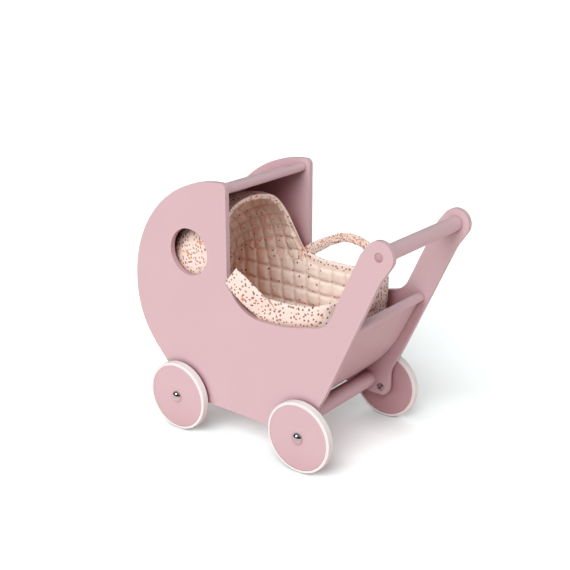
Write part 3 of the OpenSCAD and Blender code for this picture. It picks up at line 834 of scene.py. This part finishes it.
# The canopy's open edge from the left rim over its crown to the right rim. Its left side leans on the panel.
OPENING = [(-0.063, -0.1020, HOOD_FOOT), (-0.065, -0.1035, 0.305), (-0.071, -0.1020, 0.350),
           (-0.078, -0.0900, 0.380), (-0.083, -0.0680, 0.3925), (-0.086, -0.0420, 0.3990),
           (-0.088, -0.0120, 0.4010), (-0.087, 0.0180, 0.3980), (-0.083, 0.0455, 0.3895),
           (-0.077, 0.0675, 0.3640), (-0.070, 0.0805, 0.3350), (-0.061, 0.0915, 0.3030),
           (-0.054, 0.1000, 0.2800), (HOOD_EDGE_X, 0.1025, HOOD_FOOT)]
# Its highest line, as (x, z), from the open edge forwards and down to the rim.
CROWN = [(-0.088, 0.4010), (-0.112, 0.4000), (-0.142, 0.3925), (-0.174, 0.3740), (-0.201, 0.345),
         (-0.221, 0.306), (-0.2285, HOOD_FOOT)]
HOOD_ROWS, HOOD_COLUMNS = 73, 201
HOOD_LEAN = 0.21  # the slope of its squares
HOOD_EDGE = 3.6 * MM  # its thickness along the open edge
FULLNESS = 3.4  # 2 makes its cross sections round, more makes them squarer
INSIDE_HOOD = (-0.12, 0, 0.27)


def canopy_grid(rows, columns):
    """The canopy's outer surface from its open edge to its front, and its outward normals."""
    opening = smooth_curve(OPENING, columns)
    crown = smooth_curve(CROWN, rows)
    turn = np.linspace(0, math.pi, 400)
    full = np.stack([-np.sign(np.cos(turn)) * np.abs(np.cos(turn)) ** (2 / FULLNESS),
                     np.sin(turn) ** (2 / FULLNESS)], 1)
    surface = []
    for share, (crown_x, crown_z) in zip(np.linspace(0, 1, rows), crown):
        foot_x = HOOD_EDGE_X + share * (TUB_LOW.x + CORNER_R - HOOD_EDGE_X)
        height = crown_z - HOOD_FOOT
        ring = np.stack([foot_x + (crown_x - foot_x) * full[:, 1] ** 1.4, (HALF_W + 0.3 * MM) * full[:, 0],
                         HOOD_FOOT + height * full[:, 1]], 1)
        ring = even(ring, columns)
        own = np.clip(1 - share / 0.4, 0, 1) ** 2
        squash = (0, 0, height / (crown[0, 1] - HOOD_FOOT))
        first = opening * (1, 1, 0) + (0, 0, HOOD_FOOT) + (opening - (0, 0, HOOD_FOOT)) * squash
        straight = np.interp(first[:, 2], (HOOD_FOOT, crown[0, 1]), (HOOD_EDGE_X, crown[0, 0]))
        first[:, 0] += ring[:, 0] - straight
        surface.append(ring * (1 - own) + first * own)
    surface = np.array(surface)
    surface[0] = opening
    over = np.clip(np.abs(surface[..., 1]) - (HALF_W - CORNER_R), 0, CORNER_R)
    front = TUB_LOW.x + CORNER_R - np.sqrt(CORNER_R**2 - over**2)
    surface[..., 0] = np.maximum(surface[..., 0], front)
    n = grid_normals(surface)
    for _ in range(3):
        n[1:-1] = (n[:-2] + n[1:-1] + n[2:]) / 3
    n /= np.linalg.norm(n, axis=2, keepdims=True)
    return surface, n * np.sign((n * (surface - INSIDE_HOOD)).sum())


def canopy_map(surface):
    """The canopy's cloth map, measured from its right foot. Its squares lean, as the cloth was cut."""
    back = np.linalg.norm(np.diff(surface, axis=0, prepend=surface[:1]), axis=2).cumsum(0)
    back += CROWN[0][0] - surface[:1, :, 0]
    over = np.linalg.norm(np.diff(surface, axis=1, prepend=surface[:, :1]), axis=2).cumsum(1)
    rise = over[:, -1:] - over
    return np.stack([back - HOOD_LEAN * rise, rise + HOOD_LEAN * back], 2)


def make_canopy():
    """The carrycot's own hood: printed cloth outside, quilted cloth inside, thinner towards its open edge."""
    surface, n = canopy_grid(HOOD_ROWS, HOOD_COLUMNS)
    cloth = canopy_map(surface)
    outer = surface + n * ripple(surface, 0.05, 41)[..., None] * (0.6 * MM)
    taper = np.clip(np.linspace(0, 10, HOOD_ROWS), 0, 1) ** 0.6
    base = surface - n * (HOOD_EDGE + (WALL - HOOD_EDGE) * taper)[:, None, None]
    puff = quilt_puff(cloth) * (1 + 0.25 * ripple(base, 0.05, 43))
    inner = base - n * (puff * HOOD_PUFF + ripple(base, 0.012, 45) * CRUMPLE)[..., None]
    seams = on_seams(cloth, 1.2 * MM)
    toward = (grid_normals(inner) * n).sum() < 0
    inner = settle(inner, seams) if toward else settle(inner[:, ::-1], seams[:, ::-1])[:, ::-1]
    body = Body()
    shell(body, outer, inner, 1, cloth)
    canopy = body.build("carrycot_canopy", [PRINT, QUILT])
    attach(canopy, "carrycot")
    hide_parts("carrycot_hood")
    make_canopy_binding(surface, n)


def make_canopy_binding(surface, n):
    """The printed band folded over the canopy's open edge, and the piping along its fold."""
    middle = surface[0] - n[0] * HOOD_EDGE / 2
    edge = smooth_curve(middle[::4], len(middle))
    out = n[0]
    back = surface[2] - surface[0]
    back /= np.linalg.norm(back, axis=1, keepdims=True)
    half = HOOD_EDGE / 2 + 0.8 * MM
    turn = np.radians(np.linspace(0, 180, 11))
    profile = [(half - 0.6 * MM, 9.5 * MM), (half, 8.5 * MM), (half, 4 * MM)]
    profile += [(half * math.cos(a), -0.8 * half * math.sin(a)) for a in turn]
    profile += [(-half - 0.9 * MM, 4 * MM), (-half - 1.6 * MM, 8 * MM), (-half + 0.4 * MM, 9.8 * MM)]
    profile = np.array(profile)

    def drawn(shape):
        return edge[:, None] + out[:, None] * shape[None, :, :1] + back[:, None] * shape[None, :, 1:]

    band = drawn(profile)
    facing_out = facing(band, grid_normals(band))
    band = band + facing_out * ripple(band, 0.02, 47)[..., None] * CRUMPLE
    body = Body()
    shell(body, band, drawn(0.5 * profile + (0, 1 * MM)))
    binding = body.build("canopy_binding", [PRINT])
    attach(binding, "carrycot")
    make_piping("canopy_piping", edge + out * half * 0.8 - back * 0.5 * half, 0.9 * MM)


PAD_CELLS = (10, 7)  # squares of quilting along it and across it
PAD_ROUND = 14 * MM  # the breadth of its rounded edge


def make_base_pad():
    """The quilted pad on the tub's floor, crowned in the middle and thin round its edge."""
    low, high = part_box("carrycot_base_pad")
    rows, columns = (cells * CELL_STEPS + 1 for cells in PAD_CELLS)
    x = np.linspace(low.x + 0.012, high.x - 0.004, rows)[:, None]
    y = np.linspace(low.y + 0.004, high.y - 0.004, columns)[None]
    edge = np.minimum(np.minimum(x - x.min(), x.max() - x), np.minimum(y - y.min(), y.max() - y))
    crown = np.sqrt(1 - (1 - np.clip(edge / PAD_ROUND, 0, 1)) ** 2)
    cloth = quilt_map(rows, columns)
    puff = quilt_puff(cloth)
    middle, thick = (low.z + high.z) / 2, (high.z - low.z) / 2
    x, y = np.broadcast_to(x, crown.shape), np.broadcast_to(y, crown.shape)
    top = np.stack([x, y, middle + thick * crown * 0.75 + puff * crown * PAD_PUFF], 2)
    bottom = np.stack([x, y, middle - thick * crown * 0.95], 2)
    top = settle(top, on_seams(cloth))
    body = Body()
    body.grid(top, 0, cloth=cloth)
    body.grid(bottom, 0, flip=True)
    pad = body.build("base_cushion", [QUILT])
    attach(pad, "carrycot")
    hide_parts("carrycot_base_pad")


GATHERING = 1.35  # how much more cloth than rope there is along the standing handle


def make_right_handle():
    """The standing carry handle: a doubled band that twists and gathers into a soft rope along its arch."""
    y = 0.103
    points = [(-0.056, y - 0.001, 0.2745), (-0.050, y, 0.2835), (-0.031, y, 0.2962), (-0.005, y, 0.3109),
              (0.0176, y, 0.3205), (0.0363, y, 0.3236), (0.0568, y, 0.3208), (0.0752, y, 0.3135),
              (0.092, y, 0.300), (0.1010, y, 0.2835), (0.1035, y, 0.2675)]
    path = smooth_curve(points, 320)

    def size(share, angle):
        """Its radius: a flat band at the hood, then an oval of coarse strands with fine folds across them."""
        gathered = np.clip((share - 0.12) / 0.25, 0, 1)
        wide = 10.5 * (1 - gathered) + 7.5 * gathered
        deep = 4.0 * (1 - gathered) + 6.9 * gathered
        oval = 1 / np.sqrt((np.cos(angle) / wide) ** 2 + (np.sin(angle) / deep) ** 2)
        strands = np.abs(np.sin(2.5 * angle - 25 * share + 0.6 * np.sin(17 * share)))
        fine = np.sin(8 * angle - 220 * share + 1.6 * np.sin(11 * share)
                      + 0.9 * np.sin(31 * share + angle))
        lumps = 0.3 * np.sin(37 * share + 2 * angle)
        return (oval + gathered * (1.5 * strands - 1.0 + 0.8 * fine) + lumps) * MM

    g = tube(path, size, sides=64)
    body = Body()
    body.closed_tube(g, cloth=GATHERING * cloth_lengths(g, wrap=True))
    handle = body.build("right_carry_handle_cover", [GATHERED])
    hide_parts("carrycot_right_handle")
    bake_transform(handle)


FOLD_ROWS = 6  # rows over which the fallen handle rounds off at its free end
STITCH_AT, STITCH_HALF = 0.82, 0.06  # its stitching: place and half width, as shares of its half width


def make_left_handle():
    """The fallen carry handle: a flat doubled band, sewn on beside the tub, that leans over the left panel."""
    lower = [(0.016, -0.1062, 0.2060), (0.009, -0.1066, 0.2200), (-0.001, -0.1100, 0.2370),
             (-0.019, -0.1185, 0.2535), (-0.038, -0.1217, 0.2700), (-0.0545, -0.1222, 0.2845)]
    upper = [(0.0470, -0.1055, 0.2200), (0.0400, -0.1053, 0.2400), (0.0330, -0.1068, 0.2580),
             (0.0175, -0.1150, 0.2790), (-0.006, -0.1210, 0.3000), (-0.0300, -0.1220, 0.3145)]
    rows, columns = 70, 21
    a, b = smooth_curve(lower, rows), smooth_curve(upper, rows)
    t = np.linspace(0, 1, columns)[None, :, None]
    middle = a[:, None] * (1 - t) + b[:, None] * t
    n = grid_normals(middle)
    n *= -np.sign(n[..., 1].mean())
    off_middle = np.abs(2 * np.linspace(0, 1, columns) - 1)
    crown = (1 - off_middle**4) ** 0.5
    fold = np.sqrt(1 - np.clip((np.arange(rows) - rows + FOLD_ROWS) / FOLD_ROWS, 0, 1) ** 2)
    thick = 1.2 * MM * crown[None] * fold[:, None]
    stitch = np.abs(off_middle - STITCH_AT) < STITCH_HALF
    middle = middle + n * (0.7 * MM * ripple(middle, 0.04, 61))[..., None]
    outer = middle + n * (thick * (1 - 0.3 * stitch[None]))[..., None]
    inner = middle - n * (thick * 1.1)[..., None]
    body = Body()
    shell(body, outer, inner)
    strap = body.build("left_carry_handle_cover", [PRINT])
    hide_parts("carrycot_left_handle")
    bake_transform(strap)


# ---------------------------------------------------------------- the whole

scene.view_settings.view_transform = "Standard"
make_camera()
make_world()
make_lamps()
make_floor()
finish_wood_and_metal()
make_tub()
make_rim()
make_canopy()
make_base_pad()
make_right_handle()
make_left_handle()
